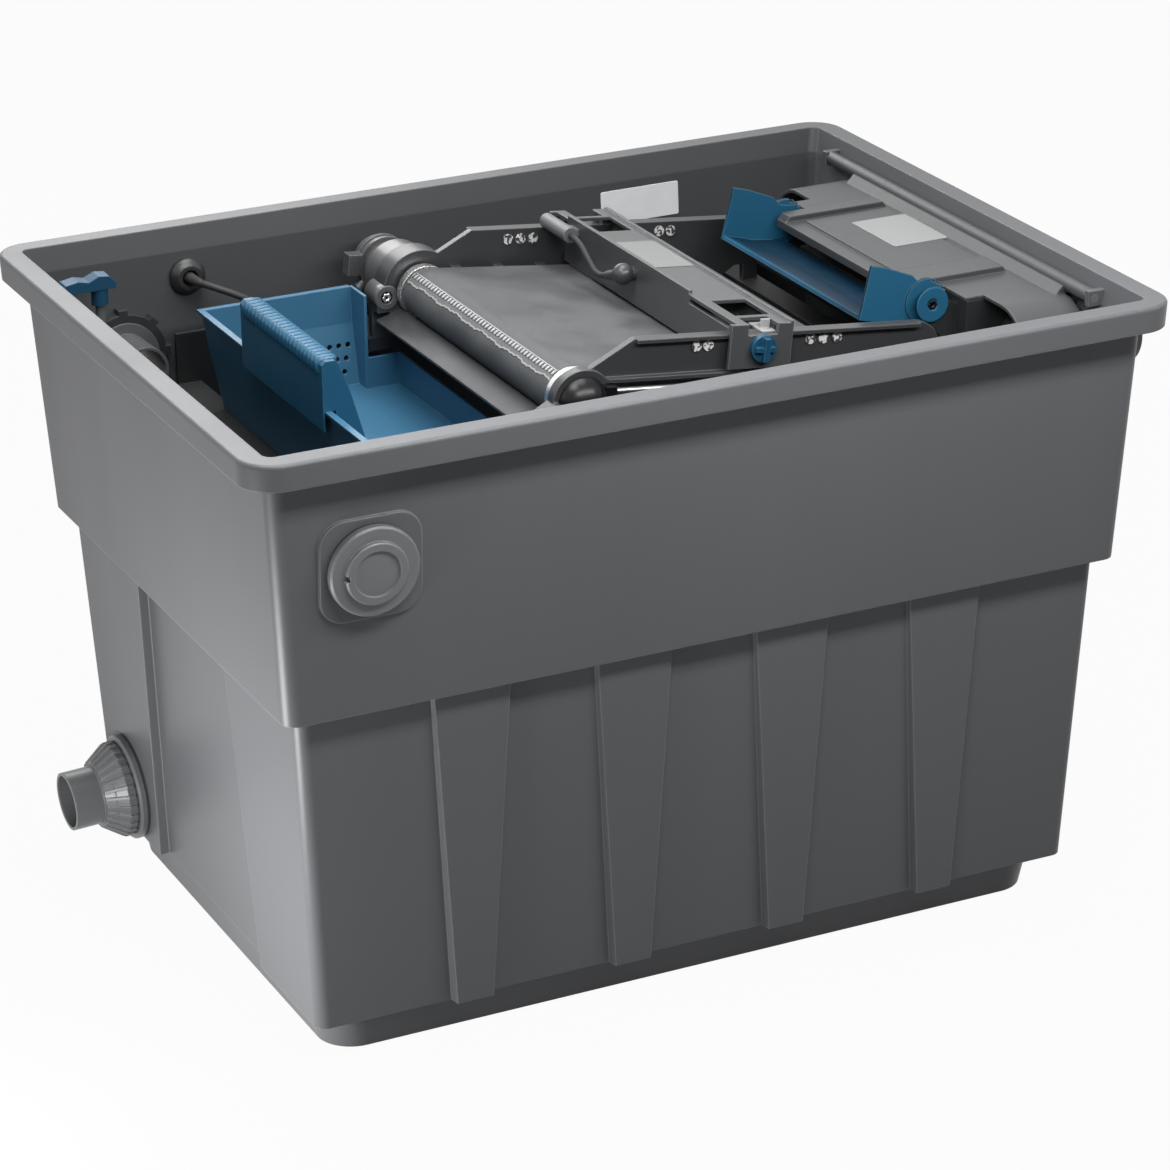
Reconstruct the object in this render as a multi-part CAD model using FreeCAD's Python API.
import FreeCAD, Part
import math
import os
from FreeCAD import Placement, Rotation, Vector

# Open-top pond filter box with a motor-driven screen belt, in millimetres.
# The origin is the centre of the base on the floor: +X runs along the long
# side towards the inlets, +Y towards the back wall, +Z up.

# Clearances
RUN = 0.05
GAP = 0.4
SEAT = 0.3

# Tub
TUB_LENGTH = 788.0
TUB_WIDTH = 579.0
TUB_HEIGHT = 527.0
WALL = 4.0
RIM_BAND = 21.0
RIM_LIP = 19.5
RIM_CORNER = 29.0
RIM_ROUND = 3.0
WALL_INSET = 20.2
SKIRT_DEPTH = 222.0
SKIRT_INSET = 31.2
SKIRT_CORNER = 12.0
BODY_TOP_INSET = 43.7
BODY_LOW_INSET = 57.0
BODY_CORNER = 10.0
FOOT_HEIGHT = 32.7
FOOT_TOP_INSET = 70.0
FOOT_LOW_INSET = 75.0
FOOT_CORNER = 30.0
SIDE_RECESS_DEPTH = 8.5
SIDE_RECESS_HALF_TOP = 95.0
SIDE_RECESS_HALF_LOW = 113.0
RIB_COUNT = 4
RIB_PITCH = 138.0
RIB_WIDTH_TOP = 64.0
RIB_WIDTH_LOW = 31.0
RIB_DEPTH_TOP = 4.0
RIB_DEPTH_LOW = 9.0
RIB_FLANK = 2.0

HALF_X = TUB_LENGTH / 2
HALF_Y = TUB_WIDTH / 2
RIM_Z = TUB_HEIGHT - RIM_BAND
SKIRT_Z = TUB_HEIGHT - SKIRT_DEPTH
X_AXIS = Vector(1, 0, 0)
Y_AXIS = Vector(0, 1, 0)
Z_AXIS = Vector(0, 0, 1)

# Inner support frame and foam chamber
FRAME_INSET = 37.5
FRAME_DROP = 87.0
FRAME_WALL = 4.0
FRAME_NOTCH_HALF = 44.0
FRAME_NOTCH_DEPTH = 57.0
RAIL_DROP = 45.0
RAIL_THICK = 8.0
GRID_Z = 54.0
GRID_THICK = 8.0
GRID_SLOTS = 9
FOAM_HEAD = 13.0
FOAM_GAP = 3.0
FOAM_COLUMNS = 3
FOAM_ROWS = 2

FRAME_HALF_X = HALF_X - FRAME_INSET
FRAME_HALF_Y = HALF_Y - FRAME_INSET
FRAME_TOP = TUB_HEIGHT - FRAME_DROP
FRAME_NOTCH_Z = FRAME_TOP - FRAME_NOTCH_DEPTH
RAIL_TOP = FRAME_TOP - RAIL_DROP
FOAM_TOP = SKIRT_Z - FOAM_HEAD

# Ports in the tub wall
PORT_X = -HALF_X + 100.0
PORT_Z = FRAME_NOTCH_Z + 43.0
PORT_PAD = 82.0
PORT_PAD_DEPTH = 3.0
PORT_PAD_CORNER = 20.0
PORT_HOLE_R = 30.0
DRAIN_Y = HALF_Y - 119.5
DRAIN_Z = 74.0
DRAIN_HOLE_R = 28.0
GLAND_X = PORT_X + 62.0
GLAND_Z = TUB_HEIGHT - 43.0
GLAND_HOLE_R = 9.0
GLAND_NUT_R = 15.5
GLAND_NUT = 10.0
GLAND_MOUTH_R = 6.0
GLAND_MOUTH = 8.0

# Plug, outlet, drain and inlet fittings
THREAD_PLAY = 1.0
SEAL_THICK = 2.5
PORT_SHANK = 20.0
PLUG_FLANGE_R = 36.0
PLUG_FLANGE = 6.0
PLUG_HUB_R = 25.0
PLUG_HUB = 4.0
PLUG_RECESS_R = 18.5
PLUG_RECESS = 2.0
EDGE_ROUND = 1.5
FITTING_NUT_R = 40.0
FITTING_NUT = 11.0
PIPE_R = 25.0
PIPE_WALL = 2.6
OUTLET_PIPE = 46.0
OUTLET_TUBE_R = 20.0
OUTLET_TUBE = 46.0
DRAIN_FLANGE_R = 45.0
DRAIN_FLANGE = 6.0
DRAIN_NECK = 13.0
DRAIN_NECK_R = 33.0
DRAIN_STUB = 25.0
SPIGOT_SHOULDER = 1.0
UNION_R = 41.0
UNION_SMALL_R = 29.0
UNION_LENGTH = 24.0
UNION_BAND = 7.0
UNION_RIBS = 28
UNION_RIB_WIDTH = 2.8
INLET_PIPE = 48.0
INLET_FLANGE = 5.0
INLET_TUBE_R = 19.0
INLET_BRANCH_R = 18.0
INLET_NUT_R = 34.0
INLET_NUT = 7.0

# Drain gate valve
GATE_X = -HALF_X + 68.0
GATE_THICK = 5.0
GATE_HALF_Y = 26.0
GATE_BOTTOM = DRAIN_Z - 28.0
GATE_TOP = DRAIN_Z + 34.0
VALVE_WALL = 3.5
VALVE_LIP = GATE_TOP + 24.0
ROD_Y = DRAIN_Y + 46.0
ROD_R = 4.0
HANDLE_Z = TUB_HEIGHT - 24.0
HANDLE_LEFT = GATE_X - 35.0
HANDLE_RIGHT = GATE_X + 12.0
HANDLE_DEPTH = 15.0

# Side arms of the screen module set the widths of what lies between them
ARM_IN_Y = HALF_Y - 139.5
ARM_THICK = 6.0
LEG_Y = ARM_IN_Y + 12.0
LEG_THICK = 8.0
LEG_WIDTH = 12.0

# Debris tray
TRAY_LEFT = -HALF_X + 145.0
TRAY_LENGTH = 165.0
TRAY_RIGHT = TRAY_LEFT + TRAY_LENGTH
TRAY_STEP_X = TRAY_RIGHT - 30.0
TRAY_HALF_Y = LEG_Y + 25.0
TRAY_LOW_HALF_Y = LEG_Y - 3.0
TRAY_RIM_Z = FRAME_TOP + 40.0
TRAY_FOLD_Z = TRAY_RIM_Z - 31.0
TRAY_LOW_Z = RAIL_TOP + 30.0
TRAY_DRAFT_X = 12.0
TRAY_DRAFT_Y = 8.0
TRAY_SHELF = 7.0
TRAY_WALL = 2.5
TRAY_LIP = 3.0
HANDLE_HALF_Y = 82.0
HANDLE_PROUD = 4.5
HANDLE_DECK = 11.0
HANDLE_RISE = 41.0
HANDLE_TOP_Z = TRAY_RIM_Z + HANDLE_RISE
GRIP_RIDGES = 22
GRIP_PITCH = 7.2
GRIP_RIDGE = 1.6
HOLE_R = 2.4
HOLE_PITCH = 8.4
HOLE_COUNT = 12
HOLE_ROWS = 3
HOLE_DROP = 18.0
HOLE_ROW_PITCH = 10.9

# Distributor trough, chute and hood
BOX_SETBACK = 37.0
BOX_DEPTH = 73.0
BOX_X1 = HALF_X - BOX_SETBACK
BOX_X0 = BOX_X1 - BOX_DEPTH
BOX_HALF_Y = ARM_IN_Y - 5.0
BOX_WALL = 3.0
BAR_X = HALF_X - 30.5
BAR_Z = RIM_Z + 6.0
BAR_R = 3.0
BAR_EYE_R = 6.0
HOOD_X0 = BOX_X0 - 36.0
HOOD_Z = BAR_Z - 7.0
HOOD_THICK = 3.0
HOOD_NOSE = 4.0
HOOD_MID_HALF = BOX_HALF_Y - 35.0
HOOD_END_R = 39.0
HOOD_END_X = BOX_X0 + 16.0
BOX_TOP = HOOD_Z - HOOD_THICK - GAP
INLET_Y = BOX_HALF_Y + 27.0
INLET_Z = HOOD_Z - HOOD_END_R
INLET_ELBOW_X = BOX_X1 - 23.0
BAR_FRONT_Y = -INLET_Y - 33.0
BAR_BACK_Y = INLET_Y + 50.0
BRACKET = 6.0
CHUTE_X = BOX_X0 - 24.0
CHUTE_Z = BAR_Z - 13.0
CHUTE_HALF_Y = BOX_HALF_Y - 28.0
CHUTE_PLATE = 3.0
CHUTE_REACH = 61.0
CHUTE_LIP_X = CHUTE_X - CHUTE_REACH
CHUTE_LIP_Z = CHUTE_Z - 7.0
CHUTE_WHEEL_R = 19.0
CHUTE_PIN_R = 4.0
CHUTE_NOTCHES = 10
NOTCH_STEP = 14.0
NOTCH_START = 70.0
BOX_SILL = CHUTE_Z - 21.0

# Screen module, built level about the drive axle and then tilted
DRIVE_X = TRAY_RIGHT + 16.0
DRIVE_Z = FRAME_TOP + 41.0
MODULE_TILT = 6.2
LIP_TO_TAIL = 18.46
DRIVE_R = 19.7
TAIL_R = 14.0
ROLLER_SPAN = (CHUTE_LIP_X - LIP_TO_TAIL - DRIVE_X) / math.cos(math.radians(MODULE_TILT))
BELT_HALF_Y = ARM_IN_Y - 12.0
BELT_THICK = 1.2
BELT_SLACK = 0.3
ARM_TOP_W = 48.0
ARM_LOW_W = -4.0
ARM_ROOT_U = 4.0
ARM_RISE_U = 43.0
ARM_FLANGE = 5.0
ARM_NOSE = 68.0
ARM_NOSE_R = 21.0
ARM_END_U = ROLLER_SPAN + ARM_NOSE
FRONT_BOSS_R = 26.0
FRONT_BOSS = 4.0
BACK_BOSS_R = 33.0
BACK_BOSS = 16.0
REST_X = CHUTE_LIP_X + 37.0
REST_WIDTH = 14.0
BED_BARS = 6
BED_BAR = 8.0
BED_DEPTH = 6.0
BED_SLATS = 5
BED_SLAT_PITCH = 60.0
AXLE_R = 6.0
COLLAR_R = 22.6
COLLAR_WIDTH = 8.0
MOTOR_SEAT = 7.0
GEARBOX_R = 28.0
GEARBOX = 42.0
GEARBOX_TAPER = 12.0
MOTOR_R = 20.0
MOTOR = 30.0
DOME_R = 21.0
DOME_HEIGHT = 15.0
MOTOR_SPIGOT_R = 25.0
CAP_LENGTH = 12.0
LEAD_BLOCK_HALF = 9.0
LEAD_BOSS_R = 5.5
LEAD_ENTRY_R = 31.0
BEAM_U0 = 128.0
BEAM_WIDTH = 49.0
BEAM_U1 = BEAM_U0 + BEAM_WIDTH
BEAM_TOP_W = ARM_TOP_W + 9.0
BEAM_LOW_W = BEAM_TOP_W - 36.0
BEAM_RIM = 3.0
BEAM_SKIN = 3.0
BEAM_END_Y = ARM_IN_Y + 16.0
BEAM_NOTCH_Y = -80.0
WINDOW_IN_Y = ARM_IN_Y - 50.0
WINDOW_OUT_Y = ARM_IN_Y - 8.0
MOUTH_HALF = 13.0
KNOB_U = BEAM_U0 + 22.0
KNOB_W = ARM_TOP_W - 10.0
KNOB_R = 11.0
KNOB_HEAD = 5.0
KNOB_SHAFT_R = 4.0
CLIP = 1.6
PIN_R = 3.5
PIN_HEAD = 1.2
PIN_W = ARM_TOP_W - 9.0
FRONT_PINS = ((BEAM_U0 - 31, PIN_W), (BEAM_U0 - 20.5, PIN_W), (BEAM_U1 + 22, PIN_W + 0.5),
              (BEAM_U1 + 34, PIN_W + 0.5), (BEAM_U1 + 46, PIN_W + 0.5))
BACK_PINS = ((BEAM_U0 - 50.5, PIN_W), (BEAM_U0 - 39, PIN_W), (BEAM_U0 - 27.5, PIN_W),
             (BEAM_U1 + 43, PIN_W + 1), (BEAM_U1 + 54, PIN_W + 1))
SHEATH_U = BEAM_U0 - 16.0
SHEATH_W = BEAM_TOP_W - 3.0
SHEATH_R = 6.5
SHEATH_LENGTH = 46.7
SHEATH_Y1 = ARM_IN_Y - SEAT
SHEATH_Y0 = SHEATH_Y1 - SHEATH_LENGTH
PLUG_BALL_R = 9.0
PLUG_NECK_R = 6.0
PLUG_Y = 16.0
PLUG_W = BEAM_TOP_W - 11.0
SENSOR_LEAD_R = 2.5
MOTOR_LEAD_R = 3.0
TENSION_R = 2.5
TENSION_W = 9.0
MOTOR_ROUTE = ((-232, 262.1, 484.33), (-232, 244.1, 485.31), (-223.8, 228.9, 484),
               (-205, 216.8, 477), (-181, 212.8, 463), (-154.5, 214.4, 449),
               (-127.6, 221.3, 443.3), (-107.75, 228, 449.05), (-92.16, 228, 461.58))
SENSOR_ROUTE = ((112, 103, 54), (112, 87, 54), (113, 67, 42), (113.3, 50.4, 34.3),
                (115, 38, 38.5))


def export(name, shape):
    shape.exportStep("parts/" + name + ".step")


def box(x0, x1, y0, y1, z0, z1):
    return Part.makeBox(x1 - x0, y1 - y0, z1 - z0, Vector(x0, y0, z0))


def rod(radius, start, end):
    line = Vector(*end) - Vector(*start)
    return Part.makeCylinder(radius, line.Length, Vector(*start), line)


def tube(outer, inner, start, end):
    return rod(outer, start, end).cut(rod(inner, start, end))


def join(first, *rest):
    return first.multiFuse(list(rest)).removeSplitter()


def prism(points, direction):
    """Extrude a closed polygon of 3-D points."""
    wire = Part.makePolygon([Vector(*p) for p in points] + [Vector(*points[0])])
    return Part.Face(wire).extrude(Vector(*direction))


def side_profile(points, y0, y1):
    """Extrude an outline drawn in X and Z from y0 to y1."""
    return prism([(x, y0, z) for x, z in points], (0, y1 - y0, 0))


def turned(profile, origin, axis):
    """Revolve (radius, along) points about an axis."""
    wire = Part.makePolygon([Vector(r, 0, h) for r, h in profile + profile[:1]])
    solid = Part.Face(wire).revolve(Vector(0, 0, 0), Z_AXIS, 360)
    solid.Placement = Placement(Vector(*origin), Rotation(Z_AXIS, Vector(*axis)))
    return solid


def rounded_wire(half_x, half_y, radius, z):
    arc = radius * (1 - math.sqrt(0.5))
    edges = []
    spots = [(1, 1), (-1, 1), (-1, -1), (1, -1)]
    for i, (sx, sy) in enumerate(spots):
        if sx * sy > 0:
            start = Vector(sx * half_x, sy * (half_y - radius), z)
            end = Vector(sx * (half_x - radius), sy * half_y, z)
        else:
            start = Vector(sx * (half_x - radius), sy * half_y, z)
            end = Vector(sx * half_x, sy * (half_y - radius), z)
        middle = Vector(sx * (half_x - arc), sy * (half_y - arc), z)
        edges.append(Part.Arc(start, middle, end).toShape())
        nx, ny = spots[(i + 1) % 4]
        if nx * ny > 0:
            after = Vector(nx * half_x, ny * (half_y - radius), z)
        else:
            after = Vector(nx * (half_x - radius), ny * half_y, z)
        edges.append(Part.LineSegment(end, after).toShape())
    return Part.Wire(edges)


def tier(z0, inset0, z1, inset1, corner, slide_x=0.0):
    """Drafted block between two rounded rectangles, inset from the rim size."""
    low = rounded_wire(HALF_X - inset0 - slide_x, HALF_Y - inset0, corner, z0)
    high = rounded_wire(HALF_X - inset1 - slide_x, HALF_Y - inset1, corner, z1)
    return Part.makeLoft([low, high], True, True)


def wall_inset(z):
    """Outer wall inset from the rim at a height."""
    if z >= SKIRT_Z:
        share = (z - SKIRT_Z) / (RIM_Z - SKIRT_Z)
        return SKIRT_INSET + (WALL_INSET - SKIRT_INSET) * share
    share = (z - FOOT_HEIGHT) / (SKIRT_Z - FOOT_HEIGHT)
    return BODY_LOW_INSET + (BODY_TOP_INSET - BODY_LOW_INSET) * share


def draft_angle(z):
    if z >= SKIRT_Z:
        return math.atan((SKIRT_INSET - WALL_INSET) / (RIM_Z - SKIRT_Z))
    return math.atan((BODY_LOW_INSET - BODY_TOP_INSET) / (SKIRT_Z - FOOT_HEIGHT))


def on_wall(shape, side, along, z, proud=0.0):
    """Place a shape drawn with +Z outwards and +Y up onto a drafted wall."""
    lean = draft_angle(z)
    inset = wall_inset(z)
    flat, drop = math.cos(lean), -math.sin(lean)
    if side in ("front", "back"):
        sign = -1 if side == "front" else 1
        out = Vector(0, sign * flat, drop)
        spot = Vector(along, sign * (HALF_Y - inset), z)
    else:
        sign = -1 if side == "left" else 1
        out = Vector(sign * flat, 0, drop)
        spot = Vector(sign * (HALF_X - inset), along, z)
    up = Vector(-out.x * drop / flat, -out.y * drop / flat, flat)
    across = up.cross(out)
    moved = shape.copy()
    moved.Placement = Placement(spot + out * proud, Rotation(across, up, out, "ZYX"))
    return moved


def wall_point(side, along, z, depth):
    """Point at a depth inside a drafted wall, measured along its normal."""
    marker = on_wall(Part.Vertex(0, 0, -depth), side, along, z)
    return tuple(marker.Point)


def recess_cutter(widen, low_z, high_z):
    """Tapered panel outline on both short walls, drawn in Y and Z."""
    slope = (SIDE_RECESS_HALF_LOW - SIDE_RECESS_HALF_TOP) / (SKIRT_Z - FOOT_HEIGHT)
    low = SIDE_RECESS_HALF_TOP + slope * (SKIRT_Z - low_z) + widen
    high = SIDE_RECESS_HALF_TOP + slope * (SKIRT_Z - high_z) + widen
    points = [(-HALF_X, -low, low_z), (-HALF_X, low, low_z)]
    points += [(-HALF_X, high, high_z), (-HALF_X, -high, high_z)]
    return prism(points, (TUB_LENGTH, 0, 0))


def front_rib(centre, sign):
    """Raised rib on a long wall, tapering downwards in width and proud of it."""
    sections = []
    for z, width, depth in (
        (SKIRT_Z, RIB_WIDTH_TOP, RIB_DEPTH_TOP),
        (FOOT_HEIGHT, RIB_WIDTH_LOW, RIB_DEPTH_LOW),
    ):
        face = sign * (HALF_Y - wall_inset(z - 0.001) + depth)
        root = sign * (HALF_Y - wall_inset(z - 0.001) - WALL / 2)
        sections.append(Part.makePolygon([
            Vector(centre - width / 2 - RIB_FLANK, root, z),
            Vector(centre - width / 2, face, z),
            Vector(centre + width / 2, face, z),
            Vector(centre + width / 2 + RIB_FLANK, root, z),
            Vector(centre - width / 2 - RIB_FLANK, root, z),
        ]))
    return Part.makeLoft(sections, True, True)


def port_pad():
    half = PORT_PAD / 2
    wire = rounded_wire(half, half, PORT_PAD_CORNER, -WALL / 2)
    return Part.Face(wire).extrude(Vector(0, 0, WALL / 2 + PORT_PAD_DEPTH))


def wall_hole(radius):
    return rod(radius, (0, 0, -4 * WALL), (0, 0, 4 * WALL))


def upper_room():
    """Space inside the skirt and the rim, parallel to their outer walls."""
    low_z = SKIRT_Z + WALL
    room = tier(low_z, wall_inset(low_z) + WALL, RIM_Z, WALL_INSET + WALL, SKIRT_CORNER - WALL)
    mouth = tier(RIM_Z, WALL_INSET + WALL, TUB_HEIGHT, RIM_LIP, SKIRT_CORNER - WALL)
    return join(room, mouth)


def make_tub():
    foot = tier(0, FOOT_LOW_INSET, FOOT_HEIGHT, FOOT_TOP_INSET, FOOT_CORNER)
    body = tier(FOOT_HEIGHT, BODY_LOW_INSET, SKIRT_Z, BODY_TOP_INSET, BODY_CORNER)
    core = tier(FOOT_HEIGHT, BODY_LOW_INSET, SKIRT_Z, BODY_TOP_INSET, BODY_CORNER,
                SIDE_RECESS_DEPTH)
    body = body.cut(recess_cutter(0, FOOT_HEIGHT, SKIRT_Z).cut(core))
    skirt = tier(SKIRT_Z, SKIRT_INSET, RIM_Z, WALL_INSET, SKIRT_CORNER)
    rim = tier(RIM_Z, 1.0, TUB_HEIGHT, 0.0, RIM_CORNER)
    rim = rim.makeFillet(RIM_ROUND, [e for e in rim.Edges if e.BoundBox.ZMin > RIM_Z + 1])
    ribs = []
    for i in range(RIB_COUNT):
        centre = (i - (RIB_COUNT - 1) / 2) * RIB_PITCH
        ribs += [front_rib(centre, -1), front_rib(centre, 1)]
    pads = [on_wall(port_pad(), side, PORT_X, PORT_Z) for side in ("front", "back")]
    outer = join(foot, body, skirt, rim, *ribs, *pads)

    floor = tier(WALL, FOOT_LOW_INSET + WALL, FOOT_HEIGHT + WALL, FOOT_TOP_INSET + WALL,
                 FOOT_CORNER - WALL)
    low_z, high_z = FOOT_HEIGHT + WALL, SKIRT_Z + WALL
    room = tier(low_z, BODY_LOW_INSET + WALL, high_z, BODY_TOP_INSET + WALL, BODY_CORNER - WALL)
    inner = tier(low_z, BODY_LOW_INSET + WALL, high_z, BODY_TOP_INSET + WALL,
                 BODY_CORNER - WALL, SIDE_RECESS_DEPTH)
    room = room.cut(recess_cutter(WALL, low_z, high_z).cut(inner))
    tub = outer.cut(join(floor, room, upper_room()))

    holes = [
        on_wall(wall_hole(PORT_HOLE_R), "front", PORT_X, PORT_Z),
        on_wall(wall_hole(PORT_HOLE_R), "back", PORT_X, PORT_Z),
        on_wall(wall_hole(DRAIN_HOLE_R), "left", DRAIN_Y, DRAIN_Z),
        on_wall(wall_hole(GLAND_HOLE_R), "back", GLAND_X, GLAND_Z),
    ]
    for sign in (-1, 1):
        holes.append(on_wall(wall_hole(DRAIN_HOLE_R), "right", sign * INLET_Y, INLET_Z))
    return tub.cut(holes[0].multiFuse(holes[1:]))


def ring(outer, inner, low, high):
    return tube(outer, inner, (0, 0, low), (0, 0, high))


def grip_nut(outer, inner, low, high):
    """Lugged lock nut that clamps a fitting from inside the tub."""
    nut = ring(outer - 4, inner, low, high)
    lugs = []
    for i in range(8):
        lug = box(outer - 7, outer, -4, 4, low, high)
        lug.rotate(Vector(0, 0, 0), Z_AXIS, i * 45)
        lugs.append(lug)
    return join(nut, *lugs)


def make_plug():
    """Blanking plug: threaded hollow shank, flange and a round hub with a dished face."""
    base = SEAL_THICK
    top = base + PLUG_FLANGE
    hub = top + PLUG_HUB
    shank = PORT_HOLE_R - THREAD_PLAY
    profile = [(0, -PORT_SHANK), (shank, -PORT_SHANK), (shank, base), (PLUG_FLANGE_R, base),
               (PLUG_FLANGE_R, top - EDGE_ROUND), (PLUG_FLANGE_R - EDGE_ROUND, top),
               (PLUG_HUB_R, top), (PLUG_HUB_R, hub - 1), (PLUG_HUB_R - 1, hub),
               (PLUG_RECESS_R, hub), (PLUG_RECESS_R, hub - PLUG_RECESS),
               (0, hub - PLUG_RECESS)]
    plug = turned(profile, (0, 0, 0), (0, 0, 1))
    key = box(-PLUG_HUB_R - 2, -PLUG_HUB_R + 3, -2.5, 2.5, top, hub + 1)
    hollow = rod(shank - WALL, (0, 0, -PORT_SHANK - 1), (0, 0, base))
    return plug.cut(key).cut(hollow)


def make_outlet():
    """Tank connector: outer pipe stub, flange, threaded shank and inner tube."""
    shank = PORT_HOLE_R - THREAD_PLAY
    out = SEAL_THICK + PLUG_FLANGE
    end = -PORT_SHANK - OUTLET_TUBE
    bore = OUTLET_TUBE_R - PIPE_WALL
    outer = [(PIPE_R - PIPE_WALL, out), (PLUG_FLANGE_R, out), (PLUG_FLANGE_R, SEAL_THICK),
             (shank, SEAL_THICK), (shank, -PORT_SHANK), (OUTLET_TUBE_R, -PORT_SHANK),
             (OUTLET_TUBE_R, end), (bore, end), (bore, 0), (PIPE_R - PIPE_WALL, WALL)]
    body = turned(outer, (0, 0, 0), (0, 0, 1))
    stub = ring(PIPE_R, PIPE_R - PIPE_WALL, out - 1, out + OUTLET_PIPE)
    return join(body, stub)


def make_drain_body():
    """Flanged drain fitting with a threaded neck and a shank into the valve."""
    face = SEAL_THICK + DRAIN_FLANGE
    neck = face + DRAIN_NECK
    shank = DRAIN_HOLE_R - THREAD_PLAY
    bore = PIPE_R - PIPE_WALL
    inside = -2 * WALL - THREAD_PLAY
    profile = [(bore, inside), (shank, inside), (shank, SEAL_THICK), (DRAIN_FLANGE_R, SEAL_THICK),
               (DRAIN_FLANGE_R, face - EDGE_ROUND), (DRAIN_FLANGE_R - EDGE_ROUND, face),
               (DRAIN_NECK_R, face), (DRAIN_NECK_R, neck), (bore, neck)]
    fitting = on_wall(turned(profile, (0, 0, 0), (0, 0, 1)), "left", DRAIN_Y, DRAIN_Z)
    valve_face = GATE_X - GATE_THICK / 2 - GAP - VALVE_WALL
    return fitting.cut(box(valve_face, 0, 0, HALF_Y, 0, SKIRT_Z))


def make_drain_spigot():
    """Pipe stub that the union nut clamps by its collar."""
    start = SEAL_THICK + DRAIN_FLANGE + DRAIN_NECK
    bore = PIPE_R - PIPE_WALL
    collar_r = (PIPE_R + DRAIN_NECK_R) / 2
    neck_r = PIPE_R + SPIGOT_SHOULDER
    shoulder = SEAL_THICK + DRAIN_FLANGE + UNION_LENGTH + 2 * GAP
    end = shoulder + DRAIN_STUB
    profile = [(bore, start), (collar_r, start), (collar_r, start + BOX_WALL),
               (neck_r, start + BOX_WALL), (neck_r, shoulder), (PIPE_R, shoulder),
               (PIPE_R, end), (bore, end)]
    return turned(profile, (0, 0, 0), (0, 0, 1))


def make_union_nut():
    """Conical ribbed union nut that turns on the drain's threaded neck."""
    low = SEAL_THICK + DRAIN_FLANGE + GAP
    high = low + UNION_LENGTH
    bore = DRAIN_NECK_R + RUN
    small = PIPE_R + SPIGOT_SHOULDER + RUN
    seat = SEAL_THICK + DRAIN_FLANGE + DRAIN_NECK + BOX_WALL + GAP
    band = low + UNION_BAND
    skin = 1.5
    profile = [(bore, low), (UNION_R - skin, low), (UNION_R - skin, band),
               (UNION_SMALL_R - skin, high), (small, high), (small, seat), (bore, seat)]
    nut = turned(profile, (0, 0, 0), (0, 0, 1))
    outline = [(UNION_R - 2 * skin, low + 1), (UNION_R, low + 1), (UNION_R, band),
               (UNION_SMALL_R, high), (UNION_SMALL_R - 2 * skin + 0.5, high),
               (UNION_R - 2 * skin, band)]
    ribs = []
    for i in range(UNION_RIBS):
        half = UNION_RIB_WIDTH / 2
        rib = prism([(r, -half, h) for r, h in outline], (0, UNION_RIB_WIDTH, 0))
        rib.rotate(Vector(0, 0, 0), Z_AXIS, i * 360 / UNION_RIBS)
        ribs.append(rib)
    return join(nut, *ribs)


def make_inlet():
    """Inlet elbow of the back side: hose stub, flange, tube turning into the box's end."""
    flange_r = DRAIN_HOLE_R + 8
    depth = HALF_X - wall_inset(INLET_Z) - INLET_ELBOW_X
    shank = WALL + INLET_NUT + THREAD_PLAY
    shank_r = DRAIN_HOLE_R - THREAD_PLAY
    face = SEAL_THICK + INLET_FLANGE
    outside = [(0, -depth - INLET_TUBE_R), (INLET_TUBE_R, -depth - INLET_TUBE_R),
               (INLET_TUBE_R, -shank), (shank_r, -shank), (shank_r, SEAL_THICK),
               (flange_r, SEAL_THICK), (flange_r, face), (PIPE_R, face), (PIPE_R, INLET_PIPE),
               (0, INLET_PIPE)]
    body = turned(outside, (0, 0, 0), (0, 0, 1))
    reach = BOX_HALF_Y - BOX_WALL - INLET_Y
    body = join(body, rod(INLET_BRANCH_R, (0, 0, -depth), (reach, 0, -depth)))
    bore = INLET_TUBE_R - PIPE_WALL
    body = body.cut(rod(bore, (0, 0, -depth - bore), (0, 0, INLET_PIPE + 1)))
    body = body.cut(rod(INLET_BRANCH_R - PIPE_WALL, (0, 0, -depth), (2 * reach, 0, -depth)))
    return body.cut(rod(PIPE_R - PIPE_WALL, (0, 0, SEAL_THICK), (0, 0, INLET_PIPE + 1)))


def make_valve_housing():
    """Slotted guide box behind the drain, open at the top for the gate."""
    x0 = GATE_X - GATE_THICK / 2 - GAP - VALVE_WALL
    x1 = GATE_X + GATE_THICK / 2 + GAP + VALVE_WALL
    y0 = DRAIN_Y - GATE_HALF_Y - GAP - VALVE_WALL
    y1 = ROD_Y + ROD_R + GAP + VALVE_WALL
    low = GATE_BOTTOM - GAP
    shell = box(x0, x1, y0, y1, low - VALVE_WALL, VALVE_LIP)
    slot = box(x0 + VALVE_WALL, x1 - VALVE_WALL, y0 + VALVE_WALL, y1 - VALVE_WALL, low,
               VALVE_LIP + 1)
    bore = rod(PIPE_R - PIPE_WALL, (x0 - 1, DRAIN_Y, DRAIN_Z), (x1 + 1, DRAIN_Y, DRAIN_Z))
    way = rod(ROD_R + GAP, (GATE_X, ROD_Y, GATE_TOP - 2), (GATE_X, ROD_Y, VALVE_LIP + 1))
    return shell.cut(slot).cut(bore).cut(way)


def make_gate():
    y1 = ROD_Y + ROD_R
    return box(GATE_X - GATE_THICK / 2, GATE_X + GATE_THICK / 2, DRAIN_Y - GATE_HALF_Y, y1,
               GATE_BOTTOM, GATE_TOP)


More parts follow.
